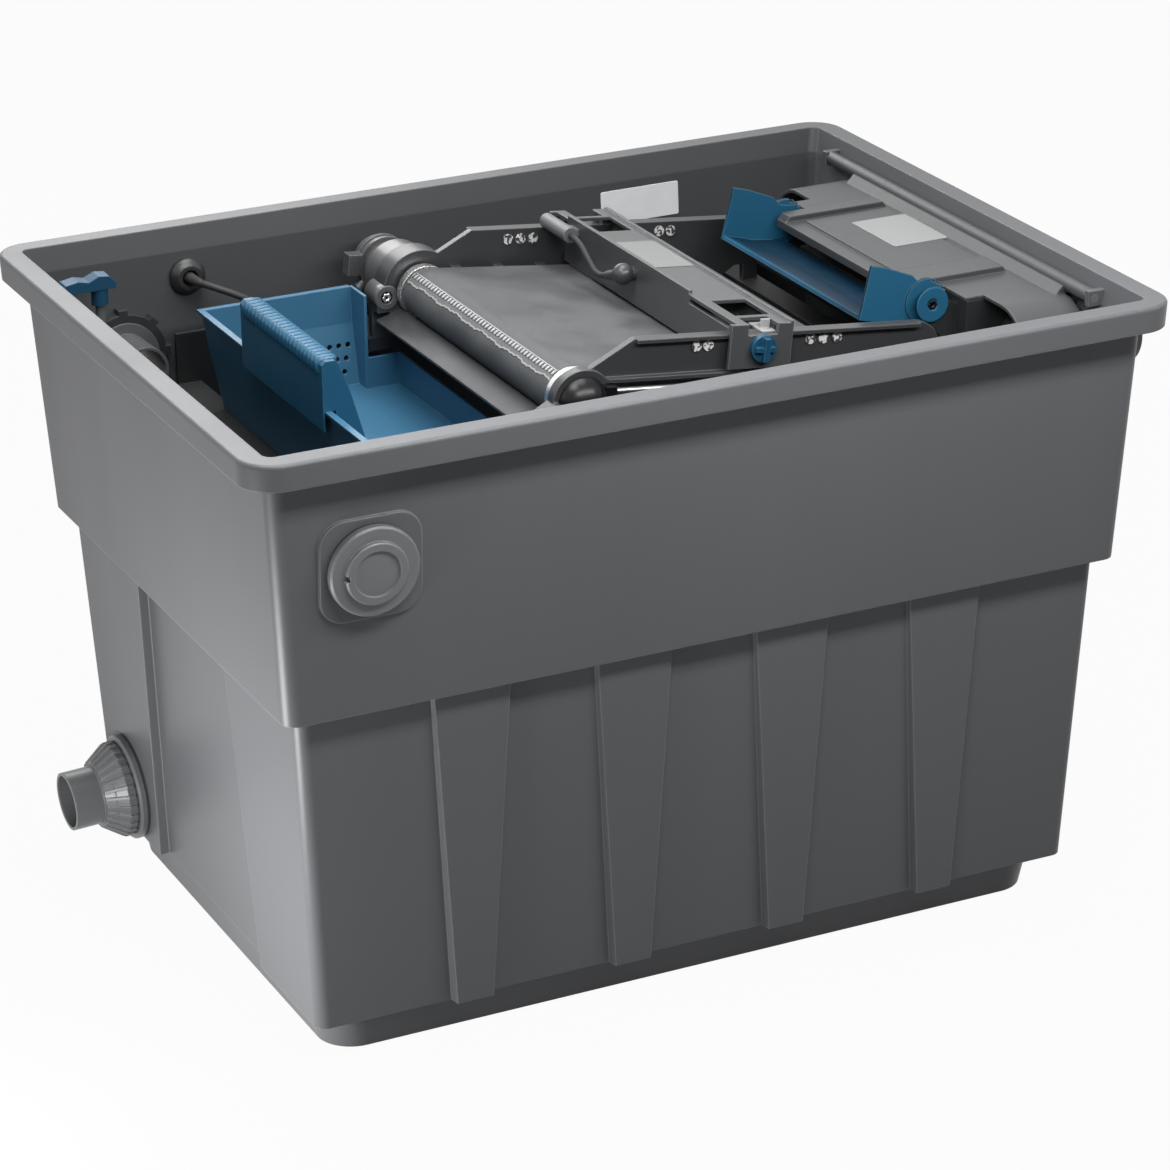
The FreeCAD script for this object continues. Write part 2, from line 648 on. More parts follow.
def make_valve_handle():
    """Flat pull handle with a wavy finger edge, hooked towards the corner."""
    z = HANDLE_Z
    points = [(HANDLE_RIGHT, z), (HANDLE_RIGHT + 1, z + 5), (HANDLE_RIGHT - 5, z + 11),
              (HANDLE_RIGHT - 14, z + 12), (HANDLE_RIGHT - 23, z + 8),
              (HANDLE_RIGHT - 32, z + 10), (HANDLE_LEFT + 4, z + 8), (HANDLE_LEFT, z + 2),
              (HANDLE_LEFT + 3, z - 2), (HANDLE_LEFT + 12, z)]
    y0 = ROD_Y - HANDLE_DEPTH / 2
    grip = side_profile(points, y0, y0 + HANDLE_DEPTH)
    socket = rod(ROD_R + 3, (GATE_X, ROD_Y, z - 14), (GATE_X, ROD_Y, z + 1))
    return join(grip, socket).cut(rod(ROD_R, (GATE_X, ROD_Y, z - 15), (GATE_X, ROD_Y, z - 4)))


def make_frame():
    """Walled support ring on the tub's inner ledge, with rails and brackets."""
    low = SKIRT_Z + WALL
    shell = box(-FRAME_HALF_X, FRAME_HALF_X, -FRAME_HALF_Y, FRAME_HALF_Y, low, FRAME_TOP)
    in_x, in_y = FRAME_HALF_X - FRAME_WALL, FRAME_HALF_Y - FRAME_WALL
    shell = shell.cut(box(-in_x, in_x, -in_y, in_y, low - 1, FRAME_TOP + 1))
    notch = box(PORT_X - FRAME_NOTCH_HALF, PORT_X + FRAME_NOTCH_HALF, -FRAME_HALF_Y - 1,
                FRAME_HALF_Y + 1, FRAME_NOTCH_Z, FRAME_TOP + 1)
    shell = shell.cut(notch)
    tray_foot = TRAY_LEFT + TRAY_DRAFT_X
    bar_y = in_y + FRAME_WALL / 2
    bars = [
        box(tray_foot - 19, tray_foot + 8, -bar_y, bar_y, RAIL_TOP - RAIL_THICK, RAIL_TOP),
        box(TRAY_RIGHT - 26, TRAY_RIGHT - 8, -bar_y, bar_y, RAIL_TOP - RAIL_THICK, RAIL_TOP),
        box(REST_X - 4, REST_X + REST_WIDTH + 4, -bar_y, bar_y, FRAME_TOP - RAIL_THICK,
            FRAME_TOP),
        box(BOX_X0 - 4, BOX_X0 + 8, -bar_y, bar_y, FRAME_TOP - RAIL_THICK, FRAME_TOP),
    ]
    for sign in (-1, 1):
        y0, y1 = sorted((sign * LEG_Y, sign * bar_y))
        bars.append(box(TRAY_STEP_X + 3, TRAY_STEP_X + 14 + LEG_WIDTH, y0, y1,
                        FRAME_TOP - 1.5 * RAIL_THICK, FRAME_TOP))
    guide_z = FRAME_NOTCH_Z - 2 * RAIL_THICK
    guide = ROD_R + 5
    bars.append(box(-in_x - 1, GATE_X + guide, ROD_Y - guide, ROD_Y + guide, guide_z,
                    guide_z + RAIL_THICK))
    frame = join(shell, *bars)
    return frame.cut(rod(ROD_R + RUN, (GATE_X, ROD_Y, 0), (GATE_X, ROD_Y, FRAME_TOP)))


def make_grid():
    """Slatted floor grid that carries the foams above the sludge space."""
    half_x = HALF_X - wall_inset(GRID_Z) - WALL - SIDE_RECESS_DEPTH - 2
    half_y = HALF_Y - wall_inset(GRID_Z) - WALL - 2
    left = GATE_X + 22
    bar = 12.0
    rim = box(left, half_x, -half_y, half_y, GRID_Z, GRID_Z + GRID_THICK)
    slots = []
    pitch = (half_x - left - bar) / GRID_SLOTS
    for i in range(GRID_SLOTS):
        x0 = left + bar + i * pitch
        for y0, y1 in ((-half_y + bar, -bar / 2), (bar / 2, half_y - bar)):
            slots.append(box(x0, x0 + pitch - bar, y0, y1, GRID_Z - 1, GRID_Z + GRID_THICK + 1))
    grid = rim.cut(slots[0].multiFuse(slots[1:]))
    leg = 8.0
    legs = []
    for x in (left + 30, 0, half_x - 46):
        for y in (-half_y, half_y - leg):
            legs.append(box(x, x + 2 * leg, y, y + leg, FOOT_HEIGHT + WALL, GRID_Z))
    return join(grid, *legs)


def make_foam(column, row):
    """One ribbed filter foam standing on the grid."""
    half_x = HALF_X - wall_inset(GRID_Z) - WALL - SIDE_RECESS_DEPTH - 6
    left = GATE_X + 24
    half_y = HALF_Y - wall_inset(GRID_Z) - WALL - 6
    width = (half_x - left - (FOAM_COLUMNS - 1) * FOAM_GAP) / FOAM_COLUMNS
    x0 = left + column * (width + FOAM_GAP)
    y0 = -half_y if row == 0 else FOAM_GAP / 2
    return box(x0, x0 + width, y0, y0 + half_y - FOAM_GAP / 2, GRID_Z + GRID_THICK, FOAM_TOP)


def make_gland():
    """Cable gland: round nut inside with a deep mouth for the lead, hex body outside."""
    inner = -WALL - GLAND_NUT
    mouth = inner + GLAND_MOUTH
    thread_r = GLAND_HOLE_R - THREAD_PLAY / 2
    profile = [(0, mouth), (GLAND_MOUTH_R, mouth), (GLAND_MOUTH_R + 1, inner),
               (GLAND_NUT_R - 5, inner), (GLAND_NUT_R - 2, inner + 3), (GLAND_NUT_R, inner + 6),
               (GLAND_NUT_R, -WALL), (thread_r, -WALL), (thread_r, 0), (GLAND_NUT_R - 2.5, 0),
               (GLAND_NUT_R - 2.5, 6), (0, 6)]
    return turned(profile, (0, 0, 0), (0, 0, 1))


def tray_left(z):
    """Left face of the tray's drafted wall at a height."""
    share = (TRAY_RIM_Z - z) / (TRAY_RIM_Z - RAIL_TOP)
    return TRAY_LEFT + TRAY_DRAFT_X * share


def tray_block(z0, z1, right, half_top, half_low, grow):
    """Drafted block for the tray, from plan rectangles at two heights."""
    wires = []
    for z, half in ((z0, half_low), (z1, half_top)):
        left = tray_left(z) + grow
        wires.append(Part.makePolygon([
            Vector(left, -half + grow, z), Vector(right - grow, -half + grow, z),
            Vector(right - grow, half - grow, z), Vector(left, half - grow, z),
            Vector(left, -half + grow, z)]))
    return Part.makeLoft(wires, True, True)


def make_tray():
    """Debris basket: tall left part, low tongue under the scraper."""
    floor = RAIL_TOP + SEAT
    fold_out = TRAY_HALF_Y - 1
    base = fold_out - TRAY_SHELF - TRAY_DRAFT_Y / 2
    tall = tray_block(TRAY_FOLD_Z, TRAY_RIM_Z, TRAY_STEP_X, TRAY_HALF_Y, fold_out, 0)
    low = tray_block(floor, TRAY_FOLD_Z, TRAY_STEP_X, fold_out, base, 0)
    tongue = tray_block(floor, TRAY_LOW_Z, TRAY_RIGHT, TRAY_LOW_HALF_Y, TRAY_LOW_HALF_Y, 0)
    tall_in = tray_block(TRAY_FOLD_Z, TRAY_RIM_Z, TRAY_STEP_X, TRAY_HALF_Y, fold_out, TRAY_WALL)
    low_in = tray_block(floor + TRAY_WALL, TRAY_FOLD_Z, TRAY_STEP_X, fold_out, base, TRAY_WALL)
    tongue_in = tray_block(floor + TRAY_WALL, TRAY_LOW_Z, TRAY_RIGHT, TRAY_LOW_HALF_Y,
                           TRAY_LOW_HALF_Y, TRAY_WALL)
    throat = box(TRAY_STEP_X - 2 * TRAY_WALL, TRAY_STEP_X + 1, -TRAY_LOW_HALF_Y + TRAY_WALL,
                 TRAY_LOW_HALF_Y - TRAY_WALL, floor + TRAY_WALL, TRAY_RIM_Z + 1)
    tray = join(tall, low, tongue).cut(join(tall_in, low_in, tongue_in, throat))
    lip_half = TRAY_HALF_Y + TRAY_LIP
    edge = tray_block(TRAY_RIM_Z - TRAY_WALL, TRAY_RIM_Z, TRAY_STEP_X, lip_half, lip_half, 0)
    edge.translate(Vector(-TRAY_LIP, 0, 0))
    edge = edge.cut(box(TRAY_LEFT + TRAY_WALL, TRAY_STEP_X, -TRAY_HALF_Y + TRAY_WALL,
                        TRAY_HALF_Y - TRAY_WALL, TRAY_FOLD_Z, TRAY_RIM_Z + 1))
    tray = join(tray, edge)
    holes = []
    for row in range(HOLE_ROWS):
        z = TRAY_FOLD_Z - HOLE_DROP - row * HOLE_ROW_PITCH
        for i in range(HOLE_COUNT):
            x = TRAY_STEP_X - HOLE_PITCH - (i + row * 0.35) * HOLE_PITCH
            holes.append(rod(HOLE_R, (x, base - 2 * TRAY_SHELF, z), (x, fold_out + TRAY_SHELF, z)))
    return tray.cut(holes[0].multiFuse(holes[1:]))


def make_tray_handle():
    """Hollow grip on the tray's left wall: upright panel, ribbed top, sloped back."""
    left = TRAY_LEFT - HANDLE_PROUD
    top = HANDLE_TOP_Z
    skirt = TRAY_RIM_Z - 16
    heel = TRAY_RIM_Z - 25
    elbow = TRAY_RIM_Z + 14
    skin = TRAY_WALL
    deck = left + HANDLE_DECK
    brow = [(left, skirt), (left, top - 3), (left + 3, top), (deck, top), (deck + 3, top - 3),
            (deck + 12, elbow), (deck + 23, heel)]
    inside = [(deck + 23 - skin, heel), (deck + 12 - skin, elbow - 1), (deck, top - skin - 1),
              (left + skin, top - skin - 1), (left + skin, skirt)]
    web = brow + [(deck + 23, heel - 3), (left + 20, skirt - 8)]
    grip = side_profile(brow + inside, -HANDLE_HALF_Y, HANDLE_HALF_Y)
    ends = [side_profile(web, -HANDLE_HALF_Y - skin, -HANDLE_HALF_Y),
            side_profile(web, HANDLE_HALF_Y, HANDLE_HALF_Y + skin)]
    ridges = []
    for i in range(GRIP_RIDGES):
        y = (i - (GRIP_RIDGES - 1) / 2) * GRIP_PITCH
        ridges.append(box(left + 1.5, deck + 1.5, y - GRIP_PITCH / 4, y + GRIP_PITCH / 4,
                          top - 2, top + GRIP_RIDGE))
    handle = join(grip, *ends, *ridges)
    clear = box(TRAY_LEFT - TRAY_LIP - RUN, TRAY_LEFT + 2 * TRAY_LIP, -HANDLE_HALF_Y - 9,
                HANDLE_HALF_Y + 9, skirt - 30, TRAY_RIM_Z + RUN)
    return handle.cut(clear)


def to_module(shape):
    """Tilt a shape drawn about the drive axle and move it into the tub."""
    moved = shape.copy()
    moved.Placement = Placement(Vector(DRIVE_X, 0, DRIVE_Z), Rotation(Y_AXIS, MODULE_TILT)) \
        .multiply(moved.Placement)
    return moved


def belt_loop(drive, tail):
    """Outline face of the belt's path for two roller radii, in X and Z."""
    lean = math.asin((drive - tail) / ROLLER_SPAN)
    s, c = math.sin(lean), math.cos(lean)
    top = [Vector(drive * s, 0, drive * c), Vector(ROLLER_SPAN + tail * s, 0, tail * c)]
    low = [Vector(ROLLER_SPAN + tail * s, 0, -tail * c), Vector(drive * s, 0, -drive * c)]
    edges = [
        Part.LineSegment(top[0], top[1]).toShape(),
        Part.Arc(top[1], Vector(ROLLER_SPAN + tail, 0, 0), low[0]).toShape(),
        Part.LineSegment(low[0], low[1]).toShape(),
        Part.Arc(low[1], Vector(-drive, 0, 0), top[0]).toShape(),
    ]
    return Part.Face(Part.Wire(edges))


def make_belt():
    inner = (DRIVE_R + BELT_SLACK, TAIL_R + BELT_SLACK)
    span = Vector(0, 2 * BELT_HALF_Y, 0)
    outside = belt_loop(inner[0] + BELT_THICK, inner[1] + BELT_THICK).extrude(span)
    inside = belt_loop(*inner).extrude(span)
    belt = outside.cut(inside)
    belt.translate(Vector(0, -BELT_HALF_Y, 0))
    return to_module(belt)


def make_drive_roller():
    """Drive drum with stub axles that run in both arms."""
    drum = rod(DRIVE_R, (0, -BELT_HALF_Y - 2, 0), (0, BELT_HALF_Y + 2, 0))
    axle = rod(AXLE_R, (0, -ARM_IN_Y - ARM_THICK - FRONT_BOSS + 1, 0),
               (0, ARM_IN_Y + ARM_THICK + BACK_BOSS + 3, 0))
    return to_module(join(drum, axle))


def make_collar(sign):
    """End ring that guides the belt's edge on the drive drum."""
    y0 = BELT_HALF_Y + 1.5 * GAP
    y1 = y0 + COLLAR_WIDTH
    outer = rod(COLLAR_R, (0, sign * y0, 0), (0, sign * y1, 0))
    seat = rod(DRIVE_R, (0, sign * y0, 0), (0, sign * (BELT_HALF_Y + 2), 0))
    axle = rod(AXLE_R, (0, sign * y0, 0), (0, sign * y1, 0))
    return to_module(outer.cut(seat).cut(axle))


def make_tail_roller():
    drum = rod(TAIL_R, (ROLLER_SPAN, -BELT_HALF_Y - 2, 0), (ROLLER_SPAN, BELT_HALF_Y + 2, 0))
    axle = rod(AXLE_R, (ROLLER_SPAN, -ARM_IN_Y - ARM_THICK - 2, 0),
               (ROLLER_SPAN, ARM_IN_Y + ARM_THICK + 2, 0))
    return to_module(join(drum, axle))


def arm_face():
    """Arm outline: boss end at the drive axle, tapered rise, rounded far end."""
    top = ARM_TOP_W
    nose = ARM_END_U - ARM_NOSE_R
    heel_w = -TAIL_R
    corners = [(nose, top - 2 * ARM_NOSE_R), (ROLLER_SPAN + 20, heel_w),
               (ROLLER_SPAN - 24, heel_w), (ROLLER_SPAN - 50, ARM_LOW_W),
               (ARM_ROOT_U, ARM_LOW_W - 14), (ARM_ROOT_U, top / 2), (ARM_RISE_U, top),
               (nose, top)]
    edges = [Part.Arc(Vector(nose, 0, top), Vector(ARM_END_U, 0, top - ARM_NOSE_R),
                      Vector(nose, 0, top - 2 * ARM_NOSE_R)).toShape()]
    for (u0, w0), (u1, w1) in zip(corners, corners[1:]):
        edges.append(Part.LineSegment(Vector(u0, 0, w0), Vector(u1, 0, w1)).toShape())
    return Part.Face(Part.Wire(edges))


def make_arm(sign, boss_r, boss_depth, pin_spots):
    """Side arm with axle boss, flanges, pin holes and two standing feet."""
    near, far = ARM_IN_Y, ARM_IN_Y + ARM_THICK
    plate = arm_face().extrude(Vector(0, ARM_THICK, 0))
    plate.translate(Vector(0, near, 0))
    boss = rod(boss_r, (0, near, 0), (0, far + boss_depth, 0))
    flange_top = box(ARM_RISE_U, ARM_END_U - ARM_NOSE_R, far, far + ARM_FLANGE,
                     ARM_TOP_W - ARM_THICK / 2, ARM_TOP_W)
    flange_mid = box(FRONT_BOSS_R - ARM_THICK, ROLLER_SPAN + 24, far, far + ARM_FLANGE + 1,
                     TAIL_R + 1, TAIL_R + 1 + ARM_THICK / 2)
    arm = join(plate, boss, flange_top, flange_mid)
    arm = arm.cut(rod(AXLE_R + RUN, (0, near - 1, 0), (0, far + boss_depth + 1, 0)))
    arm = arm.cut(rod(AXLE_R + RUN, (ROLLER_SPAN, near - 1, 0), (ROLLER_SPAN, far + 1, 0)))
    for u, w in pin_spots:
        arm = arm.cut(rod(PIN_R, (u, near - 1, w), (u, far + 1, w)))
    if boss_depth > MOTOR_SEAT:
        arm = arm.cut(rod(MOTOR_SPIGOT_R, (0, far + boss_depth - MOTOR_SEAT, 0),
                          (0, far + boss_depth + 1, 0)))
    if sign < 0:
        arm = arm.mirror(Vector(0, 0, 0), Y_AXIS)
    arm = to_module(arm)
    leg_x = TRAY_STEP_X + 7
    shoulder = DRIVE_Z - 16
    low = [(leg_x, FRAME_TOP + SEAT), (leg_x + LEG_WIDTH, FRAME_TOP + SEAT),
           (leg_x + LEG_WIDTH + 3, shoulder), (leg_x, shoulder)]
    high = [(leg_x, shoulder), (DRIVE_X - 8, shoulder), (DRIVE_X - 8, DRIVE_Z),
            (DRIVE_X - boss_r + 2, DRIVE_Z + 4), (leg_x, DRIVE_Z - 4)]
    leg_out = LEG_Y + LEG_THICK
    y0, y1 = sorted((sign * LEG_Y, sign * leg_out))
    y2, y3 = sorted((sign * near, sign * leg_out))
    foot_y = sorted((sign * near, sign * far))
    foot = box(REST_X, REST_X + REST_WIDTH, foot_y[0], foot_y[1], FRAME_TOP + SEAT,
               DRIVE_Z - REST_WIDTH)
    arm = join(arm, side_profile(low, y0, y1), side_profile(high, y2, y3), foot)
    seat = far + boss_depth
    hub = rod(AXLE_R + RUN, (0, sign * near, 0), (0, sign * leg_out, 0))
    if seat < leg_out:
        hub = hub.fuse(rod(DOME_R + GAP, (0, sign * seat, 0), (0, sign * (leg_out + 1), 0)))
    if boss_depth > MOTOR_SEAT:
        hub = hub.fuse(rod(MOTOR_SPIGOT_R, (0, sign * (far + boss_depth - MOTOR_SEAT), 0),
                           (0, sign * (far + boss_depth + 1), 0)))
    return arm.cut(to_module(hub))


def make_pins(sign, pin_spots):
    """Headed bearing pins of the small rollers in one arm."""
    near, far = ARM_IN_Y, ARM_IN_Y + ARM_THICK
    pins = []
    for u, w in pin_spots:
        shank = rod(PIN_R - RUN, (u, sign * near, w), (u, sign * far, w))
        head = rod(PIN_R + 1, (u, sign * far, w), (u, sign * (far + PIN_HEAD), w))
        tail = rod(PIN_R + 1, (u, sign * (near - PIN_HEAD), w), (u, sign * near, w))
        pins.append(to_module(join(shank, head, tail)))
    return Part.makeCompound(pins)


def make_belt_bed():
    """Grid under the belt's upper run, held between the two arms."""
    drive_top = DRIVE_R + BELT_SLACK
    tail_top = TAIL_R + BELT_SLACK
    lean = math.asin((drive_top - tail_top) / ROLLER_SPAN)
    u0, u1 = DRIVE_R + ARM_THICK, ROLLER_SPAN - TAIL_R - ARM_THICK
    pitch = (u1 - u0 - BED_BAR) / (BED_BARS - 1)

    def top(u):
        return drive_top / math.cos(lean) - u * math.tan(lean) - GAP

    bars = []
    for i in range(BED_BARS):
        u = u0 + i * pitch
        high = top(u + BED_BAR)
        bars.append(box(u, u + BED_BAR, -ARM_IN_Y, ARM_IN_Y, high - BED_DEPTH, high))
    for i in range(BED_SLATS):
        y = (i - (BED_SLATS - 1) / 2) * BED_SLAT_PITCH
        half = BED_BAR / 4
        outline = [(u0, top(u0)), (u1, top(u1)), (u1, top(u1) - BED_DEPTH / 2),
                   (u0, top(u0) - BED_DEPTH / 2)]
        bars.append(side_profile(outline, y - half, y + half))
    return to_module(join(*bars))


def make_scraper():
    """Wiper plate under the drive roller, sloping down into the tray."""
    x0, z0 = DRIVE_X - 18, DRIVE_Z - 14.5
    points = [(x0, z0), (x0 - 22, z0 - 7), (x0 - 22, z0 - 9), (x0 - 16, z0 - 10),
              (x0 + 1, z0 - 5), (x0 + 3, z0 - 1.6)]
    plate = side_profile(points, -ARM_IN_Y, ARM_IN_Y)
    plate = plate.cut(about_drive(DRIVE_R + BELT_SLACK + BELT_THICK + GAP, -ARM_IN_Y, ARM_IN_Y))
    for sign in (-1, 1):
        plate = plate.cut(about_drive(COLLAR_R + 2 * GAP, sign * (BELT_HALF_Y + GAP),
                                      sign * (ARM_IN_Y + 1)))
    return plate


def about_drive(radius, y0, y1):
    return rod(radius, (DRIVE_X, y0, DRIVE_Z), (DRIVE_X, y1, DRIVE_Z))


def make_gearmotor():
    """Gearbox and motor on the back arm's boss, along the drive axle."""
    seat = ARM_IN_Y + ARM_THICK + BACK_BOSS
    spigot = seat - MOTOR_SEAT
    socket = seat + AXLE_R - 2
    profile = [(AXLE_R + RUN, spigot), (MOTOR_SPIGOT_R, spigot), (MOTOR_SPIGOT_R, seat),
               (GEARBOX_R, seat), (GEARBOX_R, seat + GEARBOX - GEARBOX_TAPER),
               (MOTOR_R, seat + GEARBOX), (MOTOR_R, seat + GEARBOX + MOTOR),
               (0, seat + GEARBOX + MOTOR), (0, socket), (AXLE_R + RUN, socket)]
    return to_module(turned(profile, (0, 0, 0), (0, 1, 0)))


def make_motor_cap():
    """Ribbed clamp collar at the motor's rear, with a terminal block and the lead's boss."""
    start = ARM_IN_Y + ARM_THICK + BACK_BOSS + GEARBOX + CAP_LENGTH / 2 + 2
    bore = MOTOR_R + RUN
    rib = CAP_LENGTH / 3
    end = start + CAP_LENGTH
    rings = [tube(MOTOR_R + 4, bore, (0, start, 0), (0, start + rib, 0)),
             tube(MOTOR_R + 2, bore, (0, start + rib, 0), (0, end - rib, 0)),
             tube(MOTOR_R + 4, bore, (0, end - rib, 0), (0, end, 0))]
    block = box(-MOTOR_R - 14, -MOTOR_R + 4, start, end, -LEAD_BLOCK_HALF, LEAD_BLOCK_HALF)
    slant = (LEAD_ENTRY_R - RUN) * math.sqrt(0.5)
    middle = (start + end) / 2
    entry = rod(LEAD_BOSS_R, (0, middle, 0), (-slant, middle, -slant))
    cap = join(*rings, block, entry)
    return to_module(cap.cut(rod(bore, (0, start - 1, 0), (0, end + 1, 0))))


def make_bearing_cap():
    """Domed cap over the drive axle's front end."""
    seat = ARM_IN_Y + ARM_THICK + FRONT_BOSS
    ball_r = (DOME_R ** 2 + DOME_HEIGHT ** 2) / (2 * DOME_HEIGHT)
    ball = Part.makeSphere(ball_r, Vector(0, -seat - DOME_HEIGHT + ball_r, 0))
    dome = ball.common(box(-ball_r, ball_r, -seat - 2 * DOME_HEIGHT, -seat, -ball_r, ball_r))
    ear = box(DOME_R - 6, DOME_R + 4, -seat - 8, -seat, TENSION_W - 5, TENSION_W + 5)
    return to_module(join(dome, ear))


def make_beam():
    """Cross beam housing that clamps over both arms and carries the controls."""
    u0, u1 = BEAM_U0, BEAM_U1
    low, top = BEAM_LOW_W, BEAM_TOP_W
    skin = BEAM_SKIN
    inner_y = ARM_IN_Y - GAP
    end_y = ARM_IN_Y + ARM_THICK + ARM_FLANGE + 1 + GAP
    deck = box(u0, u1, -BEAM_END_Y, BEAM_END_Y, top - skin, top)
    left = box(u0, u0 + skin, BEAM_NOTCH_Y, inner_y - 8, low, top + BEAM_RIM)
    left_low = box(u0, u0 + skin, -inner_y, BEAM_NOTCH_Y, low, top - 7)
    right = box(u1 - skin, u1, -inner_y, inner_y, low + 4, top)
    rim = box(u1 - skin, u1, -BEAM_END_Y, BEAM_END_Y, top - skin, top + BEAM_RIM / 2)
    bulkheads = []
    for y in (BEAM_NOTCH_Y, WINDOW_IN_Y - 5):
        bulkheads.append(box(u0, u1, y - 2, y + 2, low + 6, top))
    saddles = []
    ends = []
    foot = 4 * skin
    for sign in (-1, 1):
        y0, y1 = sorted((sign * ARM_IN_Y, sign * (ARM_IN_Y + ARM_THICK)))
        saddles.append(box(u0, u0 + foot, y0, y1, ARM_TOP_W, top))
        saddles.append(box(u1 - foot, u1, y0, y1, ARM_TOP_W, top))
        y0, y1 = sorted((sign * end_y, sign * BEAM_END_Y))
        ends.append(box(u0 - 2 * skin, u1, y0, y1, low, top))
    beam = join(deck, left, left_low, right, rim, *bulkheads, *saddles, *ends)
    cuts = []
    for sign in (-1, 1):
        y0, y1 = sorted((sign * WINDOW_IN_Y, sign * WINDOW_OUT_Y))
        cuts.append(box(u0 + 3 * skin, u1 - 3 * skin, y0, y1, top - skin - 1, top + 1))
        y0, y1 = sorted((sign * (WINDOW_OUT_Y + 4), sign * (BEAM_END_Y + 1)))
        cuts.append(box(KNOB_U - MOUTH_HALF, KNOB_U + MOUTH_HALF, y0, y1, ARM_TOP_W, top + 2))
    beam = beam.cut(join(*cuts))
    beam = beam.cut(rod(KNOB_SHAFT_R + RUN, (KNOB_U, -BEAM_END_Y - 1, KNOB_W),
                        (KNOB_U, -ARM_IN_Y - ARM_THICK, KNOB_W)))
    return to_module(beam)


def make_knob():
    """Quarter-turn lock knob with a cross grip, on the beam's front end."""
    y = -BEAM_END_Y - GAP
    face = y - KNOB_HEAD
    head = rod(KNOB_R, (KNOB_U, y, KNOB_W), (KNOB_U, face, KNOB_W))
    bar = box(KNOB_U - 2.5, KNOB_U + 2.5, face - 5, face, KNOB_W - KNOB_R + 1.5,
              KNOB_W + KNOB_R - 1.5)
    cross = box(KNOB_U - KNOB_R + 3, KNOB_U + KNOB_R - 3, face - 3, face, KNOB_W - 2,
                KNOB_W + 2)
    shaft = rod(KNOB_SHAFT_R, (KNOB_U, y, KNOB_W),
                (KNOB_U, -ARM_IN_Y - ARM_THICK - 2, KNOB_W))
    return to_module(join(head, bar, cross, shaft))


def make_clip():
    """Spring clip that shows in the beam's front window."""
    u0 = KNOB_U + 2
    far = -ARM_IN_Y - ARM_THICK
    strap = box(u0, u0 + 12, far - ARM_FLANGE, -ARM_IN_Y + 12, ARM_TOP_W, ARM_TOP_W + CLIP)
    tab = box(u0 + 2, u0 + 10, far + 2, far + 2 + CLIP, ARM_TOP_W, BEAM_TOP_W)
    return to_module(join(strap, tab))


def make_sheath():
    """Round sensor housing on a saddle beside the beam's back end."""
    u, w = SHEATH_U, SHEATH_W
    body = rod(SHEATH_R, (u, SHEATH_Y0, w), (u, SHEATH_Y1, w))
    middle = (SHEATH_Y0 + SHEATH_Y1) / 2
    saddle = box(u - 3, BEAM_U0, middle - 8, middle + 7, w - SHEATH_R + 0.5, w)
    return to_module(join(body, saddle))


def make_sensor_plug():
    """Right-angle plug: ball body on the beam's side with a tapered cable tail."""
    ball_u = BEAM_U0 - PLUG_BALL_R - 1
    centre = Vector(ball_u, PLUG_Y, PLUG_W)
    ball = Part.makeSphere(PLUG_BALL_R, centre)
    neck = rod(PLUG_NECK_R, (ball_u, PLUG_Y, PLUG_W), (BEAM_U0, PLUG_Y, PLUG_W))
    end = Vector(*SENSOR_ROUTE[-1])
    line = centre - end
    tail = Part.makeCone(SENSOR_LEAD_R + 1.2, PLUG_NECK_R - 0.5, line.Length, end, line)
    return to_module(join(ball, neck, tail))


def make_tension_rod():
    """Thin rod from the bearing cap's ear to a lug on the front arm's tail."""
    y = -ARM_IN_Y - ARM_THICK - FRONT_BOSS - 4
    far = ROLLER_SPAN - TAIL_R
    line = rod(TENSION_R, (DOME_R + 4, y, TENSION_W), (far, y, TENSION_W))
    lug = box(far, far + 8, y - 4, -ARM_IN_Y - ARM_THICK, TENSION_W - 4, TENSION_W + 4)
    return to_module(join(line, lug))


def make_hinge_rod():
    return rod(BAR_R, (BAR_X, BAR_FRONT_Y - BRACKET, BAR_Z), (BAR_X, BAR_BACK_Y + BRACKET, BAR_Z))


def make_rod_brackets():
    """Lugs on the tub wall that hold the hood's hinge rod at both ends."""
    inside = upper_room()
    lugs = []
    for y, way in ((BAR_FRONT_Y, -1), (BAR_BACK_Y, 1)):
        y0, y1 = sorted((y + way * GAP, y + way * BRACKET))
        lug = box(BAR_X - BRACKET, HALF_X, y0, y1, BAR_Z - BRACKET - 1, BAR_Z + BRACKET)
        lug = lug.cut(rod(BAR_R, (BAR_X, y0 - 1, BAR_Z), (BAR_X, y1 + 1, BAR_Z)))
        lugs.append(lug.common(inside))
    return Part.makeCompound(lugs)


